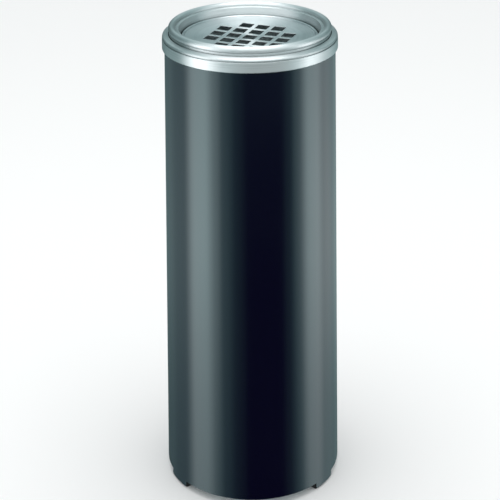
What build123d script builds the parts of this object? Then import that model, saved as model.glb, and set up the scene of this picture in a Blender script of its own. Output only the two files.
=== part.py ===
from build123d import *
import math
import os

# Free-standing ashtray bin, in millimetres, +Z up. The origin is on the floor under the shell's axis,
# and the side that faces the viewer is -Y.

# Heights above the floor
PAD_TOP_Z = 12.5
TAB_Z = 2.0
SHELL_EDGE_Z = 9.0
COLLAR_Z = 578.6
GROOVE_Z = 592.1
SHOULDER_Z = 594.2
COLLAR_TOP_Z = 598.1
LEDGE_Z = 590.0
BEAD_CENTRE_Z = 605.0
HOLE_PLAY = 0.1

# Shell: a rolled steel tube
SHELL_RADIUS = 116.7
SHELL_SHEET = 1.2
SHELL_BORE = SHELL_RADIUS - SHELL_SHEET
SHELL_TOP_Z = GROOVE_Z
FOOT_ANGLES = {"left": 210.0, "right": 325.6, "rear": 87.8}
TAB_HALF_ANGLE = 8.9
TAB_CORNER = 1.0

# Collar: one turned aluminium ring with an outer band, an inner skirt and a ledge
BAND_RADIUS = 120.0
BAND_ROUND = 1.3
GROOVE_DEPTH = 1.4
GROOVE_EASE = 0.5
GROOVE_DRAFT = 0.2
SHOULDER_RADIUS = 116.0
SHOULDER_ROUND = 3.3
SHOULDER_FALL = 0.9
COLLAR_MOUTH = 111.4
MOUTH_EASE = 0.6
LEDGE_BORE = 106.0
LEDGE_THICK = 2.5
CHANNEL_PLAY = 0.15
CHANNEL_LEAD = 0.6
SKIRT_INNER = 112.8
SKIRT_Z = 576.0
COLLAR_SCREW_Z = 583.0
COLLAR_SCREWS = 4
COLLAR_SCREW_ANGLE = 45.0
COLLAR_SCREW_RADIUS = 1.5
COLLAR_SCREW_TIP = 118.2
SCREW_TIP_PLAY = 0.3
SCREW_SEAT_GAP = 0.1
SCREW_HEAD_RADIUS = 3.0
SCREW_HEAD_HEIGHT = 1.8
CROSS_DEPTH = 0.8
CROSS_WIDTH = 0.8
CROSS_LENGTH = 3.2

# Tray ring: spun sheet with a rolled bead
TRAY_SHEET = 1.4
TRAY_SKIRT_RADIUS = 110.6
SKIRT_EASE = 0.6
BEAD_CENTRE = 106.6
BEAD_RADIUS = 5.0
STEP_Z = 604.5
STEP_EASE = 0.5
WALL_TOP_RADIUS = 97.2
WALL_FOOT_RADIUS = 94.3
WALL_EASE = 0.8
FLANGE_Z = 590.0
FLANGE_BORE = 89.5

# Strainer: a dished disc with a rolled edge and square holes
STRAINER_SHEET = 1.0
ROLL_CENTRE = 91.6
ROLL_RADIUS = 2.3
DISH_RADIUS = 90.3
DISH_EDGE_Z = 592.9
DISH_CENTRE_Z = 590.4
HOLE_PITCH = 23.6
HOLE_SIDE = 17.6
GRID_REACH = 2
GRID_ANGLE = -21.7

# Base plate and feet
BASE_SHEET = 1.5
BASE_RADIUS = SHELL_BORE
BASE_FLANGE = 16.0
BASE_BEND = 3.0
LOCATOR_INNER = 95.5
LOCATOR_OUTER = 98.5
LOCATOR_HEIGHT = 4.0
LOCATOR_DRAFT = 0.8
PAD_INNER = 99.0
PAD_OUTER = SHELL_BORE - 0.2
PAD_OVERHANG = 0.6
PAD_CORNER = 2.5
PAD_ROUND = 1.6
FOOT_SCREW_CIRCLE = 107.0
FOOT_SCREW_RADIUS = 2.5
FOOT_HEAD_RADIUS = 4.5
FOOT_HEAD_HEIGHT = 2.8
FOOT_HEAD_Z = 3.0
FOOT_CROSS_WIDTH = 1.2
FOOT_CROSS_LENGTH = 4.8
FOOT_RECESS_RADIUS = 6.0
WASHER_RADIUS = 5.5
WASHER_THICK = 1.0
NUT_FLATS = 8.0
NUT_THICK = 4.0
THREAD_PAST_NUT = 2.0

# Can: rolled wall, pressed bottom, wired rim
CAN_RADIUS = 92.0
CAN_SHEET = 0.8
CAN_Z = PAD_TOP_Z + BASE_SHEET
CAN_BOTTOM_Z = CAN_Z + 6.0
RIM_Z = 452.0
RIM_WIRE_RADIUS = 1.85
CURL_GAP = 0.05
CURL_END_ANGLE = -60.0
EAR_ANGLES = {"right": 0.0, "left": 180.0}
EAR_HALF_ANGLE = 9.0
EAR_PLATE = 2.0
EAR_CORNER = 4.0
EAR_LOW_Z = 418.0
EAR_HIGH_Z = 447.0
PIVOT_Z = 438.0
BOSS_RADIUS = 6.0
BOSS_START = 93.0
BOSS_END = 98.6
BOSS_BORE_START = 92.4
RIVET_Z = 425.0
RIVET_ANGLE = 5.0
RIVET_RADIUS = 1.8
RIVET_HEAD_RADIUS = 3.4
RIVET_HEAD_HEIGHT = 1.3

# Bail: one length of wire, hooked into the ears and leaning on the can's front
BAIL_WIRE_RADIUS = 2.4
BAIL_HALF_WIDTH = 101.5
BAIL_DROP_ANGLE = 24.5
BAIL_PIN_END = 93.2
BAIL_HOOK_BEND = 2.8

# ALONG_X lays a cylinder along its location's X axis; the others put its base or its top on the location
ALONG_X = (0, 90, 0)
FROM_BASE = (Align.CENTER, Align.CENTER, Align.MIN)
FROM_TOP = (Align.CENTER, Align.CENTER, Align.MAX)


def export_piece(piece, name):
    """Label a finished piece and write its STEP file."""
    piece.part.label = name
    export_step(piece.part, f"parts/{name}.step")


os.makedirs("parts", exist_ok=True)
foot_spots = [
    (FOOT_SCREW_CIRCLE * math.cos(math.radians(angle)), FOOT_SCREW_CIRCLE * math.sin(math.radians(angle)))
    for angle in FOOT_ANGLES.values()
]

# Body shell: tube cut back at its lower edge, with three tabs left to stand on
screw_hole = COLLAR_SCREW_RADIUS + HOLE_PLAY
screw_hole_start = SKIRT_INNER - SCREW_HEAD_HEIGHT
screw_hole_depth = COLLAR_SCREW_TIP + SCREW_TIP_PLAY - screw_hole_start
with BuildPart() as body_shell:
    with BuildSketch(Plane.XY.offset(SHELL_EDGE_Z)):
        Circle(SHELL_RADIUS)
        Circle(SHELL_BORE, mode=Mode.SUBTRACT)
    extrude(amount=SHELL_TOP_Z - SHELL_EDGE_Z)
    with BuildSketch(Plane.XY.offset(TAB_Z)):
        for angle in FOOT_ANGLES.values():
            with BuildLine():
                outside = CenterArc((0, 0), SHELL_RADIUS, angle - TAB_HALF_ANGLE, 2 * TAB_HALF_ANGLE)
                inside = CenterArc((0, 0), SHELL_BORE, angle - TAB_HALF_ANGLE, 2 * TAB_HALF_ANGLE)
                Line(outside @ 0, inside @ 0)
                Line(outside @ 1, inside @ 1)
            make_face()
    extrude(amount=SHELL_EDGE_Z - TAB_Z)
    tab_corners = body_shell.edges().filter_by(GeomType.LINE).group_by(Axis.Z)[0]
    fillet(tab_corners, TAB_CORNER)
    with Locations((0, 0, COLLAR_SCREW_Z)):
        with PolarLocations(screw_hole_start, COLLAR_SCREWS, COLLAR_SCREW_ANGLE):
            Cylinder(screw_hole, screw_hole_depth, rotation=ALONG_X, align=FROM_BASE, mode=Mode.SUBTRACT)
export_piece(body_shell, "body_shell")

# Top collar: its underside channel takes the shell's upper edge, its ledge carries the tray ring
channel_inner = SHELL_BORE - CHANNEL_PLAY
channel_outer = SHELL_RADIUS + CHANNEL_PLAY
groove_floor = BAND_RADIUS - GROOVE_DEPTH
with BuildPart() as top_collar:
    with BuildSketch(Plane.XZ):
        with BuildLine():
            Polyline(
                (channel_inner, SKIRT_Z),
                (channel_inner, SHELL_TOP_Z),
                (channel_outer, SHELL_TOP_Z),
                (channel_outer, COLLAR_Z + CHANNEL_LEAD),
                (channel_outer + CHANNEL_LEAD, COLLAR_Z),
                (BAND_RADIUS - BAND_ROUND, COLLAR_Z),
            )
            RadiusArc(
                (BAND_RADIUS - BAND_ROUND, COLLAR_Z),
                (BAND_RADIUS, COLLAR_Z + BAND_ROUND),
                -BAND_ROUND,
            )
            Polyline(
                (BAND_RADIUS, COLLAR_Z + BAND_ROUND),
                (BAND_RADIUS, GROOVE_Z - GROOVE_EASE),
                (BAND_RADIUS - GROOVE_EASE, GROOVE_Z),
                (groove_floor, GROOVE_Z + GROOVE_DRAFT),
                (groove_floor, SHOULDER_Z - GROOVE_DRAFT),
                (BAND_RADIUS - GROOVE_EASE, SHOULDER_Z),
            )
            RadiusArc(
                (BAND_RADIUS - GROOVE_EASE, SHOULDER_Z),
                (SHOULDER_RADIUS, COLLAR_TOP_Z - SHOULDER_FALL),
                -SHOULDER_ROUND,
            )
            Polyline(
                (SHOULDER_RADIUS, COLLAR_TOP_Z - SHOULDER_FALL),
                (COLLAR_MOUTH + MOUTH_EASE, COLLAR_TOP_Z),
                (COLLAR_MOUTH, COLLAR_TOP_Z - MOUTH_EASE),
                (COLLAR_MOUTH, LEDGE_Z),
                (LEDGE_BORE, LEDGE_Z),
                (LEDGE_BORE, LEDGE_Z - LEDGE_THICK),
                (SKIRT_INNER, LEDGE_Z - LEDGE_THICK),
                (SKIRT_INNER, SKIRT_Z),
                (channel_inner, SKIRT_Z),
            )
        make_face()
    revolve(axis=Axis.Z)
    with Locations((0, 0, COLLAR_SCREW_Z)):
        with PolarLocations(screw_hole_start, COLLAR_SCREWS, COLLAR_SCREW_ANGLE):
            Cylinder(screw_hole, screw_hole_depth, rotation=ALONG_X, align=FROM_BASE, mode=Mode.SUBTRACT)
export_piece(top_collar, "top_collar")

# Collar screws: pan heads inside, shanks through the skirt and the shell into the band
head_seat = SKIRT_INNER - SCREW_SEAT_GAP
with BuildPart() as collar_screws:
    with Locations((0, 0, COLLAR_SCREW_Z)):
        with PolarLocations(head_seat, COLLAR_SCREWS, COLLAR_SCREW_ANGLE):
            Cylinder(COLLAR_SCREW_RADIUS, COLLAR_SCREW_TIP - head_seat, rotation=ALONG_X, align=FROM_BASE)
            Cylinder(SCREW_HEAD_RADIUS, SCREW_HEAD_HEIGHT, rotation=ALONG_X, align=FROM_TOP)
        with PolarLocations(head_seat - SCREW_HEAD_HEIGHT, COLLAR_SCREWS, COLLAR_SCREW_ANGLE):
            Box(2 * CROSS_DEPTH, CROSS_WIDTH, CROSS_LENGTH, mode=Mode.SUBTRACT)
            Box(2 * CROSS_DEPTH, CROSS_LENGTH, CROSS_WIDTH, mode=Mode.SUBTRACT)
export_piece(collar_screws, "collar_screws")

# Tray ring: inner flange, sloping wall, step, rolled bead and outer skirt, all one sheet
skirt_inside = TRAY_SKIRT_RADIUS - TRAY_SHEET
bead_inside = BEAD_RADIUS - TRAY_SHEET
bead_foot = TRAY_SKIRT_RADIUS - SKIRT_EASE
bead_foot_z = BEAD_CENTRE_Z - math.sqrt(BEAD_RADIUS**2 - (bead_foot - BEAD_CENTRE) ** 2)
bead_foot_inside_z = BEAD_CENTRE_Z - math.sqrt(bead_inside**2 - (skirt_inside - BEAD_CENTRE) ** 2)
step_under_z = STEP_Z - TRAY_SHEET
step_end = BEAD_CENTRE - math.sqrt(BEAD_RADIUS**2 - (BEAD_CENTRE_Z - STEP_Z) ** 2)
step_end_inside = BEAD_CENTRE - math.sqrt(bead_inside**2 - (BEAD_CENTRE_Z - step_under_z) ** 2)
with BuildPart() as tray_ring:
    with BuildSketch(Plane.XZ):
        with BuildLine():
            Polyline(
                (FLANGE_BORE, FLANGE_Z),
                (WALL_FOOT_RADIUS - WALL_EASE, FLANGE_Z),
                (WALL_FOOT_RADIUS, FLANGE_Z + WALL_EASE),
                (WALL_TOP_RADIUS, STEP_Z - STEP_EASE),
                (WALL_TOP_RADIUS + STEP_EASE, STEP_Z),
                (step_end, STEP_Z),
            )
            ThreePointArc(
                (step_end, STEP_Z),
                (BEAD_CENTRE, BEAD_CENTRE_Z + BEAD_RADIUS),
                (bead_foot, bead_foot_z),
            )
            Polyline(
                (bead_foot, bead_foot_z),
                (TRAY_SKIRT_RADIUS, bead_foot_z - SKIRT_EASE),
                (TRAY_SKIRT_RADIUS, LEDGE_Z),
                (skirt_inside, LEDGE_Z),
                (skirt_inside, bead_foot_inside_z),
            )
            ThreePointArc(
                (skirt_inside, bead_foot_inside_z),
                (BEAD_CENTRE, BEAD_CENTRE_Z + bead_inside),
                (step_end_inside, step_under_z),
            )
            Polyline(
                (step_end_inside, step_under_z),
                (WALL_TOP_RADIUS + TRAY_SHEET, step_under_z),
                (WALL_FOOT_RADIUS + TRAY_SHEET, FLANGE_Z + WALL_EASE - TRAY_SHEET),
                (WALL_FOOT_RADIUS + TRAY_SHEET - WALL_EASE, FLANGE_Z - TRAY_SHEET),
                (FLANGE_BORE, FLANGE_Z - TRAY_SHEET),
                (FLANGE_BORE, FLANGE_Z),
            )
        make_face()
    revolve(axis=Axis.Z)
export_piece(tray_ring, "tray_ring")

# Strainer: shallow dished disc with a rolled edge, pierced by a square grid without its corners
dish_sag = DISH_EDGE_Z - DISH_CENTRE_Z
mid_radius = DISH_RADIUS / 2
mid_z = DISH_CENTRE_Z + dish_sag * (mid_radius / DISH_RADIUS) ** 2
roll_z = FLANGE_Z + ROLL_RADIUS
hole_places = [
    (column * HOLE_PITCH, row * HOLE_PITCH)
    for column in range(-GRID_REACH, GRID_REACH + 1)
    for row in range(-GRID_REACH, GRID_REACH + 1)
    if abs(column) + abs(row) < 2 * GRID_REACH
]
with BuildPart() as strainer:
    with BuildSketch(Plane.XZ):
        with BuildLine():
            ThreePointArc((0, DISH_CENTRE_Z), (mid_radius, mid_z), (DISH_RADIUS, DISH_EDGE_Z))
            Line((DISH_RADIUS, DISH_EDGE_Z), (DISH_RADIUS, DISH_EDGE_Z - STRAINER_SHEET))
            ThreePointArc(
                (DISH_RADIUS, DISH_EDGE_Z - STRAINER_SHEET),
                (mid_radius, mid_z - STRAINER_SHEET),
                (0, DISH_CENTRE_Z - STRAINER_SHEET),
            )
            Line((0, DISH_CENTRE_Z - STRAINER_SHEET), (0, DISH_CENTRE_Z))
        make_face()
        with Locations((ROLL_CENTRE, roll_z)):
            Circle(ROLL_RADIUS)
    revolve(axis=Axis.Z)
    with BuildSketch(Plane.XY.offset(DISH_CENTRE_Z - 2 * STRAINER_SHEET)):
        with Locations(Rotation(0, 0, GRID_ANGLE)):
            with Locations(*hole_places):
                Rectangle(HOLE_SIDE, HOLE_SIDE)
    extrude(amount=dish_sag + 3 * STRAINER_SHEET, mode=Mode.SUBTRACT)
export_piece(strainer, "strainer")

# Base plate: pressed disc with a turned-up flange, a locating rib for the can and screw holes
base_top_z = PAD_TOP_Z + BASE_SHEET
flange_inner = BASE_RADIUS - BASE_SHEET
with BuildPart() as base_plate:
    with BuildSketch(Plane.XZ):
        with BuildLine():
            Polyline(
                (0, PAD_TOP_Z),
                (BASE_RADIUS - BASE_BEND, PAD_TOP_Z),
            )
            RadiusArc(
                (BASE_RADIUS - BASE_BEND, PAD_TOP_Z),
                (BASE_RADIUS, PAD_TOP_Z + BASE_BEND),
                -BASE_BEND,
            )
            Polyline(
                (BASE_RADIUS, PAD_TOP_Z + BASE_BEND),
                (BASE_RADIUS, PAD_TOP_Z + BASE_FLANGE),
                (flange_inner, PAD_TOP_Z + BASE_FLANGE),
                (flange_inner, PAD_TOP_Z + BASE_BEND),
            )
            RadiusArc(
                (flange_inner, PAD_TOP_Z + BASE_BEND),
                (BASE_RADIUS - BASE_BEND, base_top_z),
                BASE_BEND - BASE_SHEET,
            )
            Polyline(
                (BASE_RADIUS - BASE_BEND, base_top_z),
                (LOCATOR_OUTER, base_top_z),
                (LOCATOR_OUTER - LOCATOR_DRAFT, base_top_z + LOCATOR_HEIGHT),
                (LOCATOR_INNER + LOCATOR_DRAFT, base_top_z + LOCATOR_HEIGHT),
                (LOCATOR_INNER, base_top_z),
                (0, base_top_z),
                (0, PAD_TOP_Z),
            )
        make_face()
    revolve(axis=Axis.Z)
    with BuildSketch(Plane.XY.offset(PAD_TOP_Z)):
        with Locations(*foot_spots):
            Circle(FOOT_SCREW_RADIUS + HOLE_PLAY)
    extrude(amount=BASE_SHEET, mode=Mode.SUBTRACT)
export_piece(base_plate, "base_plate")

# Rubber pads: one behind each tab, a little longer than it, with a recess for the screw's head
pad_half_angle = TAB_HALF_ANGLE + PAD_OVERHANG
recess_top_z = FOOT_HEAD_Z + FOOT_HEAD_HEIGHT + WASHER_THICK
for (side, angle), spot in zip(FOOT_ANGLES.items(), foot_spots):
    with BuildPart() as foot:
        with BuildSketch() as foot_outline:
            with BuildLine():
                outside = CenterArc((0, 0), PAD_OUTER, angle - pad_half_angle, 2 * pad_half_angle)
                inside = CenterArc((0, 0), PAD_INNER, angle - pad_half_angle, 2 * pad_half_angle)
                Line(outside @ 0, inside @ 0)
                Line(outside @ 1, inside @ 1)
            make_face()
            fillet(foot_outline.vertices(), PAD_CORNER)
        extrude(amount=PAD_TOP_Z)
        fillet(foot.faces().sort_by(Axis.Z)[0].edges(), PAD_ROUND)
        with BuildSketch():
            with Locations(spot):
                Circle(FOOT_RECESS_RADIUS)
        extrude(amount=recess_top_z, mode=Mode.SUBTRACT)
        with BuildSketch():
            with Locations(spot):
                Circle(FOOT_SCREW_RADIUS + HOLE_PLAY)
        extrude(amount=PAD_TOP_Z, mode=Mode.SUBTRACT)
    export_piece(foot, f"foot_{side}")

# Foot screws, washers and nuts: one of each per pad, the nut on top of the base plate
nut_top_z = base_top_z + NUT_THICK
with BuildPart() as foot_screws:
    with BuildSketch(Plane.XY.offset(FOOT_HEAD_Z)):
        with Locations(*foot_spots):
            Circle(FOOT_HEAD_RADIUS)
    extrude(amount=FOOT_HEAD_HEIGHT)
    with BuildSketch(Plane.XY.offset(FOOT_HEAD_Z)):
        with Locations(*foot_spots):
            Circle(FOOT_SCREW_RADIUS)
    extrude(amount=nut_top_z + THREAD_PAST_NUT - FOOT_HEAD_Z)
    with BuildSketch(Plane.XY.offset(FOOT_HEAD_Z)):
        with Locations(*foot_spots):
            Rectangle(FOOT_CROSS_WIDTH, FOOT_CROSS_LENGTH)
            Rectangle(FOOT_CROSS_LENGTH, FOOT_CROSS_WIDTH)
    extrude(amount=FOOT_HEAD_HEIGHT / 2, mode=Mode.SUBTRACT)
export_piece(foot_screws, "foot_screws")

with BuildPart() as foot_washers:
    with BuildSketch(Plane.XY.offset(FOOT_HEAD_Z + FOOT_HEAD_HEIGHT)):
        with Locations(*foot_spots):
            Circle(WASHER_RADIUS)
            Circle(FOOT_SCREW_RADIUS + HOLE_PLAY, mode=Mode.SUBTRACT)
    extrude(amount=WASHER_THICK)
export_piece(foot_washers, "foot_washers")

with BuildPart() as foot_nuts:
    with BuildSketch(Plane.XY.offset(base_top_z)):
        with Locations(*foot_spots):
            RegularPolygon(NUT_FLATS / 2, 6, major_radius=False)
            Circle(FOOT_SCREW_RADIUS + HOLE_PLAY / 2, mode=Mode.SUBTRACT)
    extrude(amount=NUT_THICK)
export_piece(foot_nuts, "foot_nuts")

# Can wall: rolled sheet whose top edge is curled round the rim wire
curl_inner = RIM_WIRE_RADIUS + CURL_GAP
curl_outer = curl_inner + CAN_SHEET
curl_centre = CAN_RADIUS + curl_inner
curl_end = math.radians(CURL_END_ANGLE)
curl_end_outside = (curl_centre + curl_outer * math.cos(curl_end), RIM_Z + curl_outer * math.sin(curl_end))
curl_end_inside = (curl_centre + curl_inner * math.cos(curl_end), RIM_Z + curl_inner * math.sin(curl_end))
rivet_hole_start = CAN_RADIUS - CAN_SHEET - RIVET_HEAD_HEIGHT
rivet_hole_depth = CAN_SHEET + EAR_PLATE + 2 * RIVET_HEAD_HEIGHT
rivet_angles = [ear_angle + turn for ear_angle in EAR_ANGLES.values() for turn in (-RIVET_ANGLE, RIVET_ANGLE)]
with BuildPart() as can_wall:
    with BuildSketch(Plane.XZ):
        with BuildLine():
            Polyline(
                (CAN_RADIUS, RIM_Z),
                (CAN_RADIUS, CAN_Z),
                (CAN_RADIUS - CAN_SHEET, CAN_Z),
                (CAN_RADIUS - CAN_SHEET, RIM_Z),
            )
            ThreePointArc(
                (CAN_RADIUS - CAN_SHEET, RIM_Z),
                (curl_centre, RIM_Z + curl_outer),
                curl_end_outside,
            )
            Line(curl_end_outside, curl_end_inside)
            ThreePointArc(
                curl_end_inside,
                (curl_centre, RIM_Z + curl_inner),
                (CAN_RADIUS, RIM_Z),
            )
        make_face()
    revolve(axis=Axis.Z)
    with Locations((0, 0, RIVET_Z)):
        for angle in rivet_angles:
            with PolarLocations(rivet_hole_start, 1, angle):
                Cylinder(
                    RIVET_RADIUS, rivet_hole_depth, rotation=ALONG_X, align=FROM_BASE, mode=Mode.SUBTRACT
                )
export_piece(can_wall, "can_wall")

# Rim wire, inside the curl
with BuildPart() as can_rim_wire:
    with BuildSketch(Plane.XZ):
        with Locations((curl_centre, RIM_Z)):
            Circle(RIM_WIRE_RADIUS)
    revolve(axis=Axis.Z)
export_piece(can_rim_wire, "can_rim_wire")

# Can bottom: disc set up inside the wall, with a turned-down flange soldered to it
bottom_edge = CAN_RADIUS - CAN_SHEET
bottom_top_z = CAN_BOTTOM_Z + CAN_SHEET
with BuildPart() as can_bottom:
    with BuildSketch(Plane.XZ):
        with BuildLine():
            Polyline(
                (0, bottom_top_z),
                (bottom_edge, bottom_top_z),
                (bottom_edge, CAN_Z),
                (bottom_edge - CAN_SHEET, CAN_Z),
                (bottom_edge - CAN_SHEET, CAN_BOTTOM_Z),
                (0, CAN_BOTTOM_Z),
                (0, bottom_top_z),
            )
        make_face()
    revolve(axis=Axis.Z)
export_piece(can_bottom, "can_bottom")

# Ears: curved plates on the can's wall, each with a bored boss for the bail's end
ear_outer = CAN_RADIUS + EAR_PLATE
for side, angle in EAR_ANGLES.items():
    with BuildPart() as ear:
        with BuildSketch(Plane.XY.offset(EAR_LOW_Z)):
            with BuildLine():
                outside = CenterArc((0, 0), ear_outer, angle - EAR_HALF_ANGLE, 2 * EAR_HALF_ANGLE)
                inside = CenterArc((0, 0), CAN_RADIUS, angle - EAR_HALF_ANGLE, 2 * EAR_HALF_ANGLE)
                Line(outside @ 0, inside @ 0)
                Line(outside @ 1, inside @ 1)
            make_face()
        extrude(amount=EAR_HIGH_Z - EAR_LOW_Z)
        upright_corners = ear.edges().filter_by(GeomType.LINE).filter_by(Axis.Z, reverse=True)
        fillet(upright_corners, EAR_CORNER)
        with BuildSketch(Plane.YZ.rotated((0, 0, angle)).offset(BOSS_START)):
            with Locations((0, PIVOT_Z)):
                Circle(BOSS_RADIUS)
        extrude(amount=BOSS_END - BOSS_START)
        with BuildSketch(Plane.YZ.rotated((0, 0, angle)).offset(BOSS_BORE_START)):
            with Locations((0, PIVOT_Z)):
                Circle(BAIL_WIRE_RADIUS + HOLE_PLAY / 2)
        extrude(amount=BOSS_END - BOSS_BORE_START, mode=Mode.SUBTRACT)
        with Locations((0, 0, RIVET_Z)):
            for rivet_angle in rivet_angles:
                with PolarLocations(rivet_hole_start, 1, rivet_angle):
                    Cylinder(
                        RIVET_RADIUS, rivet_hole_depth, rotation=ALONG_X, align=FROM_BASE, mode=Mode.SUBTRACT
                    )
    export_piece(ear, f"can_ear_{side}")

# Ear rivets: two to an ear, headed outside and inside the can
inner_head_seat = CAN_RADIUS - CAN_SHEET - SCREW_SEAT_GAP
rivet_length = EAR_PLATE + 2 * CAN_SHEET
with BuildPart() as ear_rivets:
    with Locations((0, 0, RIVET_Z)):
        for angle in rivet_angles:
            with PolarLocations(inner_head_seat, 1, angle):
                Cylinder(RIVET_RADIUS - HOLE_PLAY / 2, rivet_length, rotation=ALONG_X, align=FROM_BASE)
                Cylinder(RIVET_HEAD_RADIUS, RIVET_HEAD_HEIGHT, rotation=ALONG_X, align=FROM_TOP)
            with PolarLocations(ear_outer, 1, angle):
                Cone(
                    RIVET_HEAD_RADIUS,
                    RIVET_HEAD_RADIUS / 2,
                    RIVET_HEAD_HEIGHT,
                    rotation=ALONG_X,
                    align=FROM_BASE,
                )
export_piece(ear_rivets, "ear_rivets")

# Bail: pins through the ears, tight hooks, and a half circle that leans down the can's front
drop = math.radians(BAIL_DROP_ANGLE)
bail_plane = Plane(origin=(0, 0, PIVOT_Z), x_dir=(1, 0, 0), z_dir=(0, math.sin(drop), -math.cos(drop)))
hook_start = BAIL_HALF_WIDTH - BAIL_HOOK_BEND
with BuildPart() as bail_handle:
    with BuildLine(bail_plane) as bail_path:
        Line((-BAIL_PIN_END, 0), (-hook_start, 0))
        RadiusArc((-hook_start, 0), (-BAIL_HALF_WIDTH, BAIL_HOOK_BEND), BAIL_HOOK_BEND)
        ThreePointArc(
            (-BAIL_HALF_WIDTH, BAIL_HOOK_BEND),
            (0, BAIL_HOOK_BEND + BAIL_HALF_WIDTH),
            (BAIL_HALF_WIDTH, BAIL_HOOK_BEND),
        )
        RadiusArc((BAIL_HALF_WIDTH, BAIL_HOOK_BEND), (hook_start, 0), BAIL_HOOK_BEND)
        Line((hook_start, 0), (BAIL_PIN_END, 0))
    with BuildSketch(Plane(bail_path.line @ 0, z_dir=bail_path.line % 0)):
        Circle(BAIL_WIRE_RADIUS)
    sweep(path=bail_path.wires()[0])
export_piece(bail_handle, "bail_handle")
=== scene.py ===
import math

import bmesh
import bpy
from mathutils import Matrix, Vector
from mathutils.geometry import delaunay_2d_cdt


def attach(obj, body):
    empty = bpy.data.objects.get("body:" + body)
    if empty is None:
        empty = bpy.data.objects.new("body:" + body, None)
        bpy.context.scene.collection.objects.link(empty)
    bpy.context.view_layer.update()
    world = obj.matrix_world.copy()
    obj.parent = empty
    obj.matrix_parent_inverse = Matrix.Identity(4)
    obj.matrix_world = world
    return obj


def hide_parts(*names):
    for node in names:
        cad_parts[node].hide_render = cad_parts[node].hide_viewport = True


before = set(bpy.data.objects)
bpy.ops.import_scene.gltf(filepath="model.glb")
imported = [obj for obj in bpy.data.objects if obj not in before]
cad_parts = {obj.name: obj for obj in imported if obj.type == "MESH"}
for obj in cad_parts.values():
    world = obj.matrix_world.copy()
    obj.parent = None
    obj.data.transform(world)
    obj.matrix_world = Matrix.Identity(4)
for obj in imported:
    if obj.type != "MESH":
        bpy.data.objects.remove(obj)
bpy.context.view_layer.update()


# ---- Camera -----------------------------------------------------------------------------------------
# A view camera two metres off and a metre and a fifth up. Its film back stands almost upright while its
# lens looks down at the bin, so the bin's sides stay parallel although its mouth shows. The rig's matrix
# holds that slant; the camera itself keeps no shift. The eye's place is in metres, the film in millimetres.
EYE = Vector((0.0, -2.070, 1.218))
BACK_TILT = math.radians(3.38)
BACK_ROLL = math.radians(0.44)
LENS_FALL = 0.378
LENS_SIDE = -0.001
FILM_WIDTH = 36.0
BACK_DISTANCE = 111.0
upright = Vector((0, math.sin(BACK_TILT), math.cos(BACK_TILT)))
ahead = Vector((0, math.cos(BACK_TILT), -math.sin(BACK_TILT)))
across = Vector((1, 0, 0))
film_across = across * math.cos(BACK_ROLL) - upright * math.sin(BACK_ROLL)
film_up = upright * math.cos(BACK_ROLL) + across * math.sin(BACK_ROLL)
sight = ahead - upright * LENS_FALL + across * LENS_SIDE
rig = bpy.data.objects.new("camera_rig", None)
bpy.context.scene.collection.objects.link(rig)
camera_data = bpy.data.cameras.new("studio_camera")
camera_data.sensor_width = FILM_WIDTH
camera_data.lens = BACK_DISTANCE * sight.length
camera = bpy.data.objects.new("studio_camera", camera_data)
bpy.context.scene.collection.objects.link(camera)
camera.parent = rig
columns = (film_across, film_up, -sight.normalized(), EYE)
slant = [[column[row] for column in columns] for row in range(3)]
camera.matrix_parent_inverse = Matrix(slant + [(0, 0, 0, 1)])
bpy.context.scene.camera = camera


# ---- Studio -----------------------------------------------------------------------------------------
# A matt white floor in a white light tent. Two tall diffusers stand at the sides, the left one a little
# nearer the camera, and the tent is open, so dark, towards the camera. A wide softbox hangs overhead.
TENT_SHADE = "C8F4F6"
TENT_HALF_LIGHT = "F5FCFD"
TENT_LIGHT = "FBFEFF"
TENT_POWER = 9.0
PLAIN_WHITE = "F8F9F9"
BACK_AT_SIDES = 0.42
SOFTBOX_WIDTH = 1.4
SOFTBOX_DEPTH = 1.2
SOFTBOX_HEIGHT = 2.3
SOFTBOX_WATTS = 13.0
FLOOR_HALF = 9.0
FLOOR_WHITE = "F4F5F5"
FLOOR_WAVE = 0.3


def linear(code):
    """An sRGB hex colour as linear red, green, blue and alpha."""
    parts = [int(code[i : i + 2], 16) / 255 for i in (0, 2, 4)]
    return tuple(p / 12.92 if p <= 0.04045 else ((p + 0.055) / 1.055) ** 2.4 for p in parts) + (1.0,)


def add_node(tree, kind, inputs=None, **settings):
    """Adds a node to a tree, sets its properties, and sets its inputs or links them to other sockets."""
    made = tree.nodes.new(kind)
    for name, value in settings.items():
        setattr(made, name, value)
    for socket, value in (inputs or {}).items():
        if isinstance(value, bpy.types.NodeSocket):
            tree.links.new(value, made.inputs[socket])
        else:
            made.inputs[socket].default_value = value
    return made


def fill_ramp(ramp, stops):
    """Gives a colour ramp its stops: pairs of a place from 0 to 1 and a grey level or a colour."""
    elements = ramp.color_ramp.elements
    while len(elements) < len(stops):
        elements.new(1.0)
    for element, (place, value) in zip(elements, stops):
        element.position = place
        element.color = value if isinstance(value, tuple) else (value, value, value, 1.0)


def new_finish(name):
    """A new node material, its tree and its Principled shader."""
    finish = bpy.data.materials.new(name)
    finish.use_nodes = True
    tree = finish.node_tree
    return finish, tree, tree.nodes["Principled BSDF"]


world = bpy.data.worlds.new("light_tent")
bpy.context.scene.world = world
world.use_nodes = True
tent = world.node_tree
tent.nodes.clear()

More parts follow.
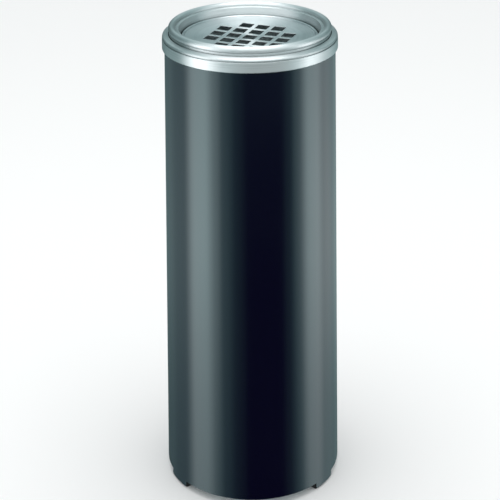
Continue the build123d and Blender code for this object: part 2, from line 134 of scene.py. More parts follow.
# The diffusers by bearing, in shares of a full turn: from behind the bin by the left, the camera, which is
# at a half, and the right to behind again. They fade upwards and downwards.
way = add_node(tent, "ShaderNodeTexCoord").outputs["Generated"]
way_parts = add_node(tent, "ShaderNodeSeparateXYZ", {0: way}).outputs
towards = add_node(tent, "ShaderNodeMath", {0: way_parts["Y"], 1: -1.0}, operation="MULTIPLY").outputs[0]
bearing = add_node(tent, "ShaderNodeMath", {0: way_parts["X"], 1: towards}, operation="ARCTAN2").outputs[0]
bearing_share = add_node(
    tent, "ShaderNodeMath", {0: bearing, 1: 1 / (2 * math.pi), 2: 0.5}, operation="MULTIPLY_ADD"
).outputs[0]
diffusers = add_node(tent, "ShaderNodeValToRGB", {0: bearing_share})
diffusers.color_ramp.interpolation = "EASE"
fill_ramp(
    diffusers,
    [
        (0.00, 0.03),
        (0.05, 0.035),
        (0.15, 0.075),
        (0.22, 0.10),
        (0.28, 0.42),
        (0.325, 0.46),
        (0.36, 0.25),
        (0.40, 0.09),
        (0.45, 0.024),
        (0.49, 0.0),
        (0.61, 0.0),
        (0.645, 0.025),
        (0.685, 0.12),
        (0.73, 0.36),
        (0.77, 0.33),
        (0.82, 0.17),
        (0.91, 0.085),
        (1.00, 0.02),
    ],
)
height_share = add_node(
    tent, "ShaderNodeMath", {0: way_parts["Z"], 1: 0.5, 2: 0.5}, operation="MULTIPLY_ADD"
).outputs[0]
side_fade = add_node(tent, "ShaderNodeValToRGB", {0: height_share})
side_fade.color_ramp.interpolation = "EASE"
fill_ramp(
    side_fade,
    [
        (0.18, 0.2),
        (0.25, 0.5),
        (0.30, 1.0),
        (0.36, 0.8),
        (0.44, 0.4),
        (0.52, 0.12),
        (0.80, 0.04),
    ],
)
side_light = add_node(
    tent, "ShaderNodeMath", {0: diffusers.outputs[0], 1: side_fade.outputs[0]}, operation="MULTIPLY"
).outputs[0]

# The upper part of the tent glows too, brighter towards the camera's side than at the back, and at the back
# brighter in the middle than at its sides
front_light = add_node(tent, "ShaderNodeValToRGB", {0: height_share})
front_light.color_ramp.interpolation = "EASE"
fill_ramp(
    front_light,
    [
        (0.32, 0.0),
        (0.36, 0.008),
        (0.42, 0.07),
        (0.50, 0.12),
        (0.70, 0.14),
        (0.85, 0.14),
        (1.00, 0.16),
    ],
)
back_light = add_node(tent, "ShaderNodeValToRGB", {0: height_share})
back_light.color_ramp.interpolation = "EASE"
fill_ramp(
    back_light,
    [
        (0.41, 0.0),
        (0.50, 0.008),
        (0.59, 0.015),
        (0.64, 0.036),
        (0.70, 0.09),
        (0.85, 0.10),
        (1.00, 0.15),
    ],
)
frontness = add_node(
    tent,
    "ShaderNodeMapRange",
    {"Value": towards, "From Min": -0.25, "From Max": 0.45},
    interpolation_type="SMOOTHSTEP",
).outputs[0]
sideways = add_node(tent, "ShaderNodeMath", {0: way_parts["X"]}, operation="ABSOLUTE").outputs[0]
back_share = add_node(
    tent,
    "ShaderNodeMapRange",
    {"Value": sideways, "From Min": 0.2, "From Max": 0.75, "To Min": 1.0, "To Max": BACK_AT_SIDES},
    interpolation_type="SMOOTHSTEP",
).outputs[0]
back_level = add_node(
    tent, "ShaderNodeMath", {0: back_light.outputs[0], 1: back_share}, operation="MULTIPLY"
).outputs[0]
upper_light = add_node(
    tent, "ShaderNodeMix", {0: frontness, 2: back_level, 3: front_light.outputs[0]}, data_type="FLOAT"
).outputs[0]

# Only reflections see the tent, which is faintly green where it is dim. A plain white lights the rest.
tent_level = add_node(tent, "ShaderNodeMath", {0: side_light, 1: upper_light}, operation="ADD").outputs[0]
tent_tint = add_node(tent, "ShaderNodeValToRGB", {0: tent_level})
fill_ramp(
    tent_tint, [(0.03, linear(TENT_SHADE)), (0.15, linear(TENT_HALF_LIGHT)), (0.30, linear(TENT_LIGHT))]
)
tent_strength = add_node(
    tent, "ShaderNodeMath", {0: tent_level, 1: TENT_POWER}, operation="MULTIPLY"
).outputs[0]
tent_glow = add_node(
    tent, "ShaderNodeBackground", {"Color": tent_tint.outputs[0], "Strength": tent_strength}
).outputs[0]
plain_glow = add_node(
    tent, "ShaderNodeBackground", {"Color": linear(PLAIN_WHITE), "Strength": 1.0}
).outputs[0]
in_gloss = add_node(tent, "ShaderNodeLightPath").outputs["Is Glossy Ray"]
mixed_glow = add_node(tent, "ShaderNodeMixShader", {0: in_gloss, 1: plain_glow, 2: tent_glow}).outputs[0]
add_node(tent, "ShaderNodeOutputWorld", {"Surface": mixed_glow})

softbox_data = bpy.data.lights.new("overhead_softbox", "AREA")
softbox_data.shape = "RECTANGLE"
softbox_data.size = SOFTBOX_WIDTH
softbox_data.size_y = SOFTBOX_DEPTH
softbox_data.energy = SOFTBOX_WATTS
softbox = bpy.data.objects.new("overhead_softbox", softbox_data)
softbox.location = (0.0, 0.0, SOFTBOX_HEIGHT)
softbox.visible_camera = False
bpy.context.scene.collection.objects.link(softbox)

# Matt white paint on a smooth floor, which lies in very low waves about 300 mm long. The floor stays out of
# the bin's reflections, which come from the tent alone, and doesn't shade the bin from the tent's lower part.
floor_paint, floor_tree, floor_shader = new_finish("matt_white_floor_paint")
floor_waves = add_node(
    floor_tree, "ShaderNodeTexNoise", {"Scale": 2 * FLOOR_HALF / FLOOR_WAVE, "Detail": 4.0}
)
floor_bump = add_node(
    floor_tree, "ShaderNodeBump", {"Height": floor_waves.outputs["Fac"], "Strength": 0.05, "Distance": 0.001}
)
floor_tree.links.new(floor_bump.outputs[0], floor_shader.inputs["Normal"])
floor_shader.inputs["Base Color"].default_value = linear(FLOOR_WHITE)
floor_shader.inputs["Roughness"].default_value = 0.9
floor_mesh = bpy.data.meshes.new("studio_floor")
floor_corners = [(-FLOOR_HALF, -FLOOR_HALF, 0), (FLOOR_HALF, -FLOOR_HALF, 0)]
floor_corners += [(FLOOR_HALF, FLOOR_HALF, 0), (-FLOOR_HALF, FLOOR_HALF, 0)]
floor_mesh.from_pydata(floor_corners, [], [(0, 1, 2, 3)])
floor_mesh.materials.append(floor_paint)
studio_floor = bpy.data.objects.new("studio_floor", floor_mesh)
bpy.context.scene.collection.objects.link(studio_floor)
studio_floor.visible_glossy = False
studio_floor.visible_shadow = False
bpy.context.scene.view_settings.view_transform = "Standard"


# ---- Body shell -------------------------------------------------------------------------------------
# Sheet steel rolled to a tube, butt-welded at the back, ground smooth, and cut back at the foot so that
# three short tabs are left, each with a rubber foot behind it. Baked black enamel covers the outside.
MM = 0.001
SHELL_OUTER = 116.7
SHELL_INNER = 115.5
SHELL_FOOT = 9.0
SHELL_HEAD = 592.1
FOOT_ROUND = 0.25
HEAD_ROUND = 0.2
BAND_STEP = 65.0
TAB_FOOT = 2.0
TAB_CORNER = 1.0
TAB_HALF = 8.9
TAB_ANGLES = (210.0, 325.6, 87.8)
TAB_CORNER_STEPS = (-0.02, 0.0, 0.03, 0.08, 0.16, 0.28, 0.42, 0.5)
SHELL_ROWS = 480
SEAM_ANGLE = 110.0
SEAM_HALF = 2.4
SEAM_DIP = 0.15
SEAM_STEP = 0.15
SEAM_STEPS = 8


def seen_as(mesh_object, finish, body, slot, *stands_for):
    """Gives a piece its finish and its body, and hides the plain solids that it stands for. The slot is not
    used.
    """
    if not mesh_object.data.materials:
        mesh_object.data.materials.append(finish)
    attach(mesh_object, body)
    if stands_for:
        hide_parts(*stands_for)


def skin(sheet, sections):
    """Adds the faces through a row of closed sections, in millimetres, carried on round to the first."""
    count = len(sections[0])
    rows = [[sheet.verts.new(Vector(point) * MM) for point in section] for section in sections]
    for near, far in zip(rows, rows[1:] + rows[:1]):
        for i in range(count):
            j = (i + 1) % count
            sheet.faces.new((near[i], far[i], far[j], near[j]))


def finished_mesh(name, sheet, crease=32.0):
    """Welds, orients and smooths a bmesh, and puts it in the scene as an object."""
    bmesh.ops.remove_doubles(sheet, verts=sheet.verts, dist=2e-6)
    bmesh.ops.dissolve_degenerate(sheet, edges=sheet.edges, dist=1e-6)
    loose = [edge for edge in sheet.edges if not edge.link_faces]
    bmesh.ops.delete(sheet, geom=loose, context="EDGES")
    bmesh.ops.recalc_face_normals(sheet, faces=sheet.faces)
    mesh = bpy.data.meshes.new(name)
    sheet.to_mesh(mesh)
    sheet.free()
    mesh.polygons.foreach_set("use_smooth", [True] * len(mesh.polygons))
    mesh.set_sharp_from_angle(angle=math.radians(crease))
    made = bpy.data.objects.new(name, mesh)
    bpy.context.scene.collection.objects.link(made)
    made.modifiers.new("flat_faces_stay_flat", "WEIGHTED_NORMAL").keep_sharp = True
    return made


def tab_drop(angle):
    """How far below the shell's cut edge it reaches at an angle: down the tabs, with rounded corners."""
    depth = SHELL_FOOT - TAB_FOOT
    for tab in TAB_ANGLES:
        away = abs((angle - tab + 180) % 360 - 180)
        inside = math.radians(TAB_HALF - away) * SHELL_OUTER
        if inside >= TAB_CORNER:
            return depth
        if inside >= 0:
            return depth - TAB_CORNER + math.sqrt(TAB_CORNER**2 - (TAB_CORNER - inside) ** 2)
    return 0.0


def seam_dip(angle):
    """How far the ground weld lies under the shell's round: a shallow trough along its whole height."""
    away = math.radians(abs(angle - SEAM_ANGLE)) * SHELL_OUTER
    return SEAM_DIP * (1 + math.cos(math.pi * away / SEAM_HALF)) / 2 if away < SEAM_HALF else 0.0


# Upright rows of points all round, closer together across the weld and at the tabs' corners
shell_angles = {i * 360 / SHELL_ROWS for i in range(SHELL_ROWS)}
shell_angles |= {SEAM_ANGLE + i * SEAM_STEP for i in range(-SEAM_STEPS, SEAM_STEPS + 1)}
for tab in TAB_ANGLES:
    for side in (-1, 1):
        for step in TAB_CORNER_STEPS:
            shell_angles.add(round((tab + side * (TAB_HALF - step)) % 360, 4))
shell_sections = []
for angle in sorted(shell_angles):
    along = Vector((math.cos(math.radians(angle)), math.sin(math.radians(angle)), 0))
    foot = SHELL_FOOT - tab_drop(angle)
    outer = SHELL_OUTER - seam_dip(angle)
    rings = [(outer, foot + FOOT_ROUND), (outer, SHELL_FOOT + 3)]
    rings += [(outer, SHELL_FOOT + 60 + i * BAND_STEP) for i in range(8)]
    rings += [(outer, SHELL_HEAD - HEAD_ROUND), (outer - HEAD_ROUND, SHELL_HEAD)]
    rings += [(SHELL_INNER + HEAD_ROUND, SHELL_HEAD), (SHELL_INNER, SHELL_HEAD - HEAD_ROUND)]
    rings += [(SHELL_INNER, SHELL_FOOT + 3), (SHELL_INNER, foot + FOOT_ROUND)]
    rings += [(SHELL_INNER + FOOT_ROUND, foot), (outer - FOOT_ROUND, foot)]
    shell_sections.append([along * radius + Vector((0, 0, height)) for radius, height in rings])
shell_sheet = bmesh.new()
skin(shell_sheet, shell_sections)
body_shell = finished_mesh("enamelled_shell", shell_sheet)

# Baked enamel on steel, black with a breath of blue: a hard satin gloss with faint orange peel about 3 mm
# across and haze in patches a hand wide. The shallow upright ripples that rolling leaves in the sheet
# break the long reflections a little.
ENAMEL_BLACK = "020015"
ENAMEL_SHEEN = "C6E2E2"
PEEL_MM = 3.0
RIPPLE_MM = 14.0
RIPPLE_STRETCH = 50.0
HAZE_MM = 111.0
enamel, enamel_tree, enamel_shader = new_finish("baked_black_enamel")
enamel_place = add_node(enamel_tree, "ShaderNodeTexCoord").outputs["Object"]
peel = add_node(
    enamel_tree, "ShaderNodeTexNoise", {"Vector": enamel_place, "Scale": 1000 / PEEL_MM, "Detail": 2.0}
)
ripple_place = add_node(
    enamel_tree, "ShaderNodeMapping", {"Vector": enamel_place, "Scale": (1.0, 1.0, 1 / RIPPLE_STRETCH)}
)
ripple = add_node(
    enamel_tree,
    "ShaderNodeTexNoise",
    {"Vector": ripple_place.outputs[0], "Scale": 1000 / RIPPLE_MM, "Detail": 1.0},
)
peel_bump = add_node(
    enamel_tree, "ShaderNodeBump", {"Height": peel.outputs["Fac"], "Strength": 0.12, "Distance": 0.0001}
)
ripple_bump = add_node(
    enamel_tree,
    "ShaderNodeBump",
    {"Height": ripple.outputs["Fac"], "Strength": 0.25, "Distance": 0.0004, "Normal": peel_bump.outputs[0]},
)
haze = add_node(
    enamel_tree, "ShaderNodeTexNoise", {"Vector": enamel_place, "Scale": 1000 / HAZE_MM, "Detail": 5.0}
)
enamel_gloss = add_node(
    enamel_tree, "ShaderNodeMapRange", {"Value": haze.outputs["Fac"], "To Min": 0.15, "To Max": 0.20}
)
enamel_shader.inputs["Base Color"].default_value = linear(ENAMEL_BLACK)
enamel_shader.inputs["IOR"].default_value = 1.5
enamel_shader.inputs["Specular IOR Level"].default_value = 1.0
enamel_shader.inputs["Specular Tint"].default_value = linear(ENAMEL_SHEEN)
enamel_tree.links.new(enamel_gloss.outputs[0], enamel_shader.inputs["Roughness"])
enamel_tree.links.new(ripple_bump.outputs[0], enamel_shader.inputs["Normal"])

# Inside, the sheet is bare, with the thin zinc that it came from the mill with: matt, pale and soft-clouded
MILL_DARK = "C6D6D9"
MILL_LIGHT = "DAE8EA"
MILL_CLOUD_MM = 30.0
mill_zinc, mill_tree, mill_shader = new_finish("mill_zinc_coated_steel")
mill_place = add_node(mill_tree, "ShaderNodeTexCoord").outputs["Object"]
mill_cloud = add_node(
    mill_tree, "ShaderNodeTexNoise", {"Vector": mill_place, "Scale": 1000 / MILL_CLOUD_MM, "Detail": 6.0}
)
mill_tone = add_node(mill_tree, "ShaderNodeValToRGB", {0: mill_cloud.outputs["Fac"]})
fill_ramp(mill_tone, [(0.3, linear(MILL_DARK)), (0.7, linear(MILL_LIGHT))])
mill_tree.links.new(mill_tone.outputs[0], mill_shader.inputs["Base Color"])
mill_shader.inputs["Metallic"].default_value = 0.1
mill_shader.inputs["Roughness"].default_value = 0.55
body_shell.data.materials.append(enamel)
body_shell.data.materials.append(mill_zinc)
for face in body_shell.data.polygons:
    if face.center.xy.length < (SHELL_INNER + 0.1) * MM:
        face.material_index = 1
seen_as(body_shell, enamel, "body", "enamel", "body_shell")


# ---- Top collar -------------------------------------------------------------------------------------
# One aluminium ring, turned on a lathe: a plain band, a fine groove, a rounded shoulder, and inside it
# the mouth and the ledge that the tray sits on. The channel in its underside takes the shell's edge.
COLLAR_FOOT = 578.6
GROOVE_FOOT = 592.1
SHOULDER_FOOT = 594.2
COLLAR_HEAD = 598.1
SKIRT_FOOT = 576.0
LEDGE_UNDER = 587.5
LEDGE_TOP = 590.0
COLLAR_SECTION = (
    (115.35, SKIRT_FOOT, 0.3),
    (115.35, SHELL_HEAD, 0.0),
    (116.85, SHELL_HEAD, 0.0),
    (116.85, COLLAR_FOOT + 0.6, 0.3),
    (117.9, COLLAR_FOOT, 0.3),
    (120.0, COLLAR_FOOT, 1.5),
    (120.0, GROOVE_FOOT, 0.5),
    (118.6, GROOVE_FOOT + 0.15, 0.2),
    (118.6, SHOULDER_FOOT - 0.15, 0.2),
    (119.8, SHOULDER_FOOT, 0.25),
    (119.1, COLLAR_HEAD - 1.8, 2.2),
    (116.0, COLLAR_HEAD - 1.0, 0.5),
    (111.4, COLLAR_HEAD, 0.5),
    (111.4, LEDGE_TOP, 0.3),
    (106.0, LEDGE_TOP, 0.4),
    (106.0, LEDGE_UNDER, 0.4),
    (112.8, LEDGE_UNDER, 0.4),
    (112.8, SKIRT_FOOT, 0.3),
)


def eased(points, steps=5):
    """A closed outline of (radius, height, rounding) corners, each rounded off by a short curve."""
    outline = []
    for i, (radius, height, rounding) in enumerate(points):
        corner = Vector((radius, height))
        before = Vector(points[i - 1][:2]) - corner
        after = Vector(points[(i + 1) % len(points)][:2]) - corner
        reach = min(rounding, 0.49 * before.length, 0.49 * after.length)
        if reach < 0.01:
            outline.append(tuple(corner))
            continue
        start = corner + before.normalized() * reach
        end = corner + after.normalized() * reach
        for step in range(steps + 1):
            t = step / steps
            outline.append(tuple(start * (1 - t) ** 2 + corner * 2 * t * (1 - t) + end * t**2))
    return outline


def turned(name, outline, segments=360):
    """A solid of revolution about the bin's axis, from an outline of (radius, height) points."""
    sections = []
    for i in range(segments):
        angle = 2 * math.pi * i / segments
        sections.append([(r * math.cos(angle), r * math.sin(angle), z) for r, z in outline])
    sheet = bmesh.new()
    skin(sheet, sections)
    return finished_mesh(name, sheet)


top_collar = turned("turned_collar", eased(COLLAR_SECTION))

# Satin aluminium off a lathe: the tool leaves rings a few tenths of a millimetre apart, drawn here 2.6 mm
# apart so that they show, and they stretch every highlight across them. Handling leaves faint clouds. The
# creases get painted shade: their colour is darkened towards a teal grey within a reach of each crease.
TURNING_MM = 2.6
HANDLING_MM = 38.5
ALUMINIUM_GREY = "DADEDF"
CREASE_SHADE_GREY = "5C6E70"


def turned_aluminium(name, colour, roughness, line_strength, crease_mm):
    """Satin aluminium with rings about the bin's axis, its colour darkened by painted shade near a crease."""
    finish, tree, shader = new_finish(name)
    place = add_node(tree, "ShaderNodeTexCoord").outputs["Object"]
    parts = add_node(tree, "ShaderNodeSeparateXYZ", {0: place}).outputs
    flat = add_node(tree, "ShaderNodeCombineXYZ", {"X": parts["X"], "Y": parts["Y"], "Z": 0.0}).outputs[0]
    radius = add_node(tree, "ShaderNodeVectorMath", {0: flat}, operation="LENGTH").outputs["Value"]
    rings_place = add_node(tree, "ShaderNodeCombineXYZ", {"X": radius, "Y": parts["Z"], "Z": 0.0}).outputs[0]
    rings = add_node(
        tree, "ShaderNodeTexNoise", {"Vector": rings_place, "Scale": 1000 / TURNING_MM, "Detail": 3.0}
    ).outputs["Fac"]
    clouds = add_node(
        tree, "ShaderNodeTexNoise", {"Vector": place, "Scale": 1000 / HANDLING_MM, "Detail": 4.0}
    ).outputs["Fac"]
    bump = add_node(tree, "ShaderNodeBump", {"Height": rings, "Strength": line_strength, "Distance": 0.0001})
    blend = add_node(tree, "ShaderNodeMath", {0: rings, 1: clouds}, operation="ADD").outputs[0]
    smoothest, dullest = roughness - 0.04, roughness + 0.05
    dulled = add_node(
        tree,
        "ShaderNodeMapRange",
        {"Value": blend, "From Min": 0.6, "From Max": 1.4, "To Min": smoothest, "To Max": dullest},
    )
    tone = add_node(tree, "ShaderNodeValToRGB", {0: blend})
    light = linear(colour)
    dark = tuple(0.82 * part for part in light[:3]) + (1.0,)
    fill_ramp(tone, [(0.6, dark), (1.0, light)])
    tangent = add_node(tree, "ShaderNodeTangent", direction_type="RADIAL", axis="Z")
    # Painted shade: where occlusion finds a crease within the reach, the colour is darkened towards a teal
    # grey
    crease = add_node(tree, "ShaderNodeAmbientOcclusion", {"Distance": crease_mm * MM}, samples=8)
    painted_crease_shade = add_node(tree, "ShaderNodeValToRGB", {0: crease.outputs["AO"]})
    fill_ramp(painted_crease_shade, [(0.25, linear(CREASE_SHADE_GREY)), (0.8, linear("FFFFFF"))])
    shaded_tone = add_node(
        tree,
        "ShaderNodeMix",
        {0: 1.0, 6: tone.outputs[0], 7: painted_crease_shade.outputs[0]},
        data_type="RGBA",
        blend_type="MULTIPLY",
    )
    tree.links.new(shaded_tone.outputs[2], shader.inputs["Base Color"])
    tree.links.new(dulled.outputs[0], shader.inputs["Roughness"])
    tree.links.new(bump.outputs[0], shader.inputs["Normal"])
    tree.links.new(tangent.outputs[0], shader.inputs["Tangent"])
    shader.inputs["Metallic"].default_value = 1.0
    shader.inputs["Anisotropic"].default_value = 0.9
    shader.inputs["Anisotropic Rotation"].default_value = 0.25
    return finish


spun_aluminium = turned_aluminium(
    "satin_turned_aluminium", ALUMINIUM_GREY, roughness=0.40, line_strength=0.6, crease_mm=3.0
)
seen_as(top_collar, spun_aluminium, "body", "spun_aluminium", "top_collar")


# ---- Tray ring --------------------------------------------------------------------------------------
# Aluminium sheet spun to a ring: a flange and a sloping wall inside, a fat rolled bead on top, and a
# skirt that drops into the collar's mouth. It is only laid in, and lifts off by hand.
BEAD_MIDDLE = (106.6, 605.0)
BEAD_ROUND = 5.0
TRAY_SHEET = 1.4


def bead_arc(radius, turns):
    """Points round the bead's middle, at turns in degrees from its outer side upwards."""
    points = []
    for turn in turns:
        along = radius * math.cos(math.radians(turn))
        up = radius * math.sin(math.radians(turn))
        points.append((BEAD_MIDDLE[0] + along, BEAD_MIDDLE[1] + up, 0.0))
    return points


TRAY_SECTION = (
    [(89.5, 590.0, 0.4), (94.3, 590.0, 0.9), (97.2, 604.45, 0.7), (101.5, 604.55, 0.3)]
    + bead_arc(BEAD_ROUND, range(180, -46, -9))
    + [(110.1, 601.3, 0.2), (110.6, 601.0, 0.3), (110.6, 590.0, 0.4), (109.2, 590.0, 0.4)]
    + bead_arc(BEAD_ROUND - TRAY_SHEET, range(-40, 196, 12))
    + [(102.9, 603.1, 0.4), (98.6, 603.1, 0.5), (95.7, 589.4, 0.5), (94.9, 588.6, 0.4), (89.5, 588.6, 0.4)]
)
tray_ring = turned("spun_tray_ring", eased(TRAY_SECTION))

# The same satin aluminium, but with its painted crease shade reaching wider into its corners
crease_shaded_aluminium = turned_aluminium(
    "crease_shaded_spun_aluminium", ALUMINIUM_GREY, roughness=0.40, line_strength=0.6, crease_mm=9.0
)
seen_as(tray_ring, crease_shaded_aluminium, "tray", "spun_aluminium", "tray_ring")


# ---- Strainer ---------------------------------------------------------------------------------------
# An aluminium disc, pressed to a shallow dish and pierced by a square grid without its corners. Its edge
# is rolled to a stiff bead that rests on the tray's flange, and the punch leaves each hole's rim rounded.
DISH_EDGE = 89.4
DISH_LOW = 590.4
DISH_HIGH = 592.9
DISH_FULL = 90.3
DISH_SHEET = 1.0
ROLL_MIDDLE = (91.6, 592.3)
ROLL_ROUND = 2.3
HOLE_PITCH = 23.6
HOLE_HALF = 8.8
HOLE_CORNER = 1.2
CORNER_STEPS = 4
HOLE_LIP = 0.35
LIP_LEVELS = ((HOLE_LIP, 0.0), (0.1, 0.1), (0.0, 0.35), (0.0, 0.65), (0.1, 0.9), (HOLE_LIP, 1.0))
GRID_TURN = math.radians(-21.7)
RIM_POINTS = 240
FILL_STEP = 3.6
FILL_CLEARANCE = 0.9
PRESSED_GREY = "CFD4D6"


def dish_height(x, y):
    """The height of the dish's upper side."""
    return DISH_LOW + (DISH_HIGH - DISH_LOW) * (x * x + y * y) / DISH_FULL**2


def hole_loop(middle, grow):
    """A square with rounded corners about a hole's middle, turned with the grid and grown by a margin."""
    half, corner = HOLE_HALF + grow, HOLE_CORNER + grow
    loop = []
    for quarter in range(4):
        cos, sin = math.cos(quarter * math.pi / 2), math.sin(quarter * math.pi / 2)
        for step in range(CORNER_STEPS + 1):
            angle = step / CORNER_STEPS * math.pi / 2
            x = half - corner + corner * math.cos(angle)
            y = half - corner + corner * math.sin(angle)
            loop.append((x * cos - y * sin, x * sin + y * cos))
        for share in (0.25, 0.5, 0.75):
            x = (half - corner) * (1 - 2 * share)
            loop.append((x * cos - half * sin, x * sin + half * cos))
    cos, sin = math.cos(GRID_TURN), math.sin(GRID_TURN)
    return [(middle[0] + x * cos - y * sin, middle[1] + x * sin + y * cos) for x, y in loop]


cells = [(c, r) for c in range(-2, 3) for r in range(-2, 3) if abs(c) + abs(r) < 4]
hole_middles = [
    (
        HOLE_PITCH * (c * math.cos(GRID_TURN) - r * math.sin(GRID_TURN)),
        HOLE_PITCH * (c * math.sin(GRID_TURN) + r * math.cos(GRID_TURN)),
    )
    for c, r in cells
]


def in_hole(x, y, margin):
    """Whether a point lies in one of the holes grown by a margin."""
    for mx, my in hole_middles:
        dx, dy = x - mx, y - my
        u = dx * math.cos(GRID_TURN) + dy * math.sin(GRID_TURN)
        v = dy * math.cos(GRID_TURN) - dx * math.sin(GRID_TURN)
        if abs(u) < HOLE_HALF + margin and abs(v) < HOLE_HALF + margin:
            return True
    return False


# The dish is laid out flat, as triangles between its edge, the holes' rims and rings of points in between
rim_angles = [2 * math.pi * i / RIM_POINTS for i in range(RIM_POINTS)]
flat_points = [Vector((DISH_EDGE * math.cos(angle), DISH_EDGE * math.sin(angle))) for angle in rim_angles]
fences = [(i, (i + 1) % RIM_POINTS) for i in range(RIM_POINTS)]
for middle in hole_middles:
    loop = hole_loop(middle, HOLE_LIP)
    start = len(flat_points)
    flat_points += [Vector(point) for point in loop]
    fences += [(start + i, start + (i + 1) % len(loop)) for i in range(len(loop))]
for ring in range(1, int(DISH_EDGE / FILL_STEP)):
    radius = ring * FILL_STEP
    around = max(6, int(2 * math.pi * radius / FILL_STEP))
    for i in range(around):
        angle = 2 * math.pi * (i + 0.5 * (ring % 2)) / around
        x, y = radius * math.cos(angle), radius * math.sin(angle)
        if not in_hole(x, y, HOLE_LIP + FILL_CLEARANCE):
            flat_points.append(Vector((x, y)))
spots, _, triangles, _, _, _ = delaunay_2d_cdt(flat_points, fences, [], 0, 1e-5)

# Then the triangles are dished, once for each side of the sheet, and the holes' rims and the edge roll
# close the two sides up
plate = bmesh.new()
for depth in (0.0, DISH_SHEET):
    level = [plate.verts.new((x * MM, y * MM, (dish_height(x, y) - depth) * MM)) for x, y in spots]
    for corners in triangles:
        x, y = sum((spots[i] for i in corners), Vector((0, 0))) / len(corners)
        if not in_hole(x, y, HOLE_LIP - 0.02):
            plate.faces.new([level[i] for i in corners])
for middle in hole_middles:
    rounds = [
        [Vector((x, y, dish_height(x, y) - drop * DISH_SHEET)) * MM for x, y in hole_loop(middle, grow)]
        for grow, drop in LIP_LEVELS
    ]
    loops = [[plate.verts.new(point) for point in points] for points in rounds]
    for upper, lower in zip(loops, loops[1:]):
        for i in range(len(upper)):
            j = (i + 1) % len(upper)
            plate.faces.new((upper[i], upper[j], lower[j], lower[i]))
roll_path = [(DISH_EDGE, dish_height(DISH_EDGE, 0))]
for turn in range(165, -196, -15):
    along = ROLL_ROUND * math.cos(math.radians(turn))
    up = ROLL_ROUND * math.sin(math.radians(turn))
    roll_path.append((ROLL_MIDDLE[0] + along, ROLL_MIDDLE[1] + up))
roll_path.append((DISH_EDGE, dish_height(DISH_EDGE, 0) - DISH_SHEET))
roll_rows = []
for angle in rim_angles:
    roll_rows.append(
        [plate.verts.new(Vector((r * math.cos(angle), r * math.sin(angle), z)) * MM) for r, z in roll_path]
    )
for near, far in zip(roll_rows, roll_rows[1:] + roll_rows[:1]):
    for i in range(len(near) - 1):
        plate.faces.new((near[i], far[i], far[i + 1], near[i + 1]))
strainer = finished_mesh("pierced_strainer", plate)

# Satin aluminium sheet, smoother and a little darker than the rings above and with fainter turning lines,
# because the press has flattened them
pressed_aluminium = turned_aluminium(
    "satin_pressed_aluminium", PRESSED_GREY, roughness=0.36, line_strength=0.3, crease_mm=5.0
)
seen_as(strainer, pressed_aluminium, "strainer", "grille_aluminium", "strainer")


# ---- Base plate -------------------------------------------------------------------------------------
# A pressed disc of galvanised steel whose turned-up flange is spot-welded inside the shell's lower end.
# A raised rib keeps the can in its place, and the feet are screwed up against its underside.
PLATE_UNDER = 12.5
PLATE_TOP = 14.0
PLATE_SHEET = 1.5
PLATE_LIP = 28.5
RIB_MIDDLE = 97.0
RIB_FOOT_HALF = 1.5
RIB_TOP_HALF = 0.7
RIB_TOP = 18.0
PLATE_SECTION = (
    (0.0, PLATE_UNDER, 0.0),
    (SHELL_INNER, PLATE_UNDER, 3.0),
    (SHELL_INNER, PLATE_LIP, 0.3),
    (SHELL_INNER - PLATE_SHEET, PLATE_LIP, 0.3),
    (SHELL_INNER - PLATE_SHEET, PLATE_TOP, 1.5),
    (RIB_MIDDLE + RIB_FOOT_HALF, PLATE_TOP, 0.6),
    (RIB_MIDDLE + RIB_TOP_HALF, RIB_TOP, 0.8),
    (RIB_MIDDLE - RIB_TOP_HALF, RIB_TOP, 0.8),
    (RIB_MIDDLE - RIB_FOOT_HALF, PLATE_TOP, 0.6),
    (0.0, PLATE_TOP, 0.0),
)
base_plate = turned("pressed_base_plate", eased(PLATE_SECTION))

# Hot-dip galvanised sheet: the zinc freezes in flat crystals about a centimetre across, and each one's
# grey and soft sheen differ a little from the next one's. A fine grain roughens them all.
ZINC_DARK = "8F9598"
ZINC_LIGHT = "B4B9BB"
SPANGLE_MM = 11.0
ZINC_GRAIN_MM = 1.43
galvanised, zinc_tree, zinc_shader = new_finish("galvanised_sheet")
zinc_place = add_node(zinc_tree, "ShaderNodeTexCoord").outputs["Object"]
spangle = add_node(zinc_tree, "ShaderNodeTexVoronoi", {"Vector": zinc_place, "Scale": 1000 / SPANGLE_MM})
spangle_grey = add_node(zinc_tree, "ShaderNodeSeparateColor", {0: spangle.outputs["Color"]}).outputs[0]
zinc_tone = add_node(zinc_tree, "ShaderNodeValToRGB", {0: spangle_grey})
fill_ramp(zinc_tone, [(0.0, linear(ZINC_DARK)), (1.0, linear(ZINC_LIGHT))])
zinc_gloss = add_node(
    zinc_tree, "ShaderNodeMapRange", {"Value": spangle_grey, "To Min": 0.36, "To Max": 0.52}
)
zinc_grain = add_node(
    zinc_tree, "ShaderNodeTexNoise", {"Vector": zinc_place, "Scale": 1000 / ZINC_GRAIN_MM, "Detail": 3.0}
)
zinc_bump = add_node(
    zinc_tree, "ShaderNodeBump", {"Height": zinc_grain.outputs["Fac"], "Strength": 0.15, "Distance": 0.0001}
)
zinc_shader.inputs["Metallic"].default_value = 1.0
zinc_tree.links.new(zinc_tone.outputs[0], zinc_shader.inputs["Base Color"])
zinc_tree.links.new(zinc_gloss.outputs[0], zinc_shader.inputs["Roughness"])
zinc_tree.links.new(zinc_bump.outputs[0], zinc_shader.inputs["Normal"])
seen_as(base_plate, galvanised, "body", "galvanised", "base_plate")


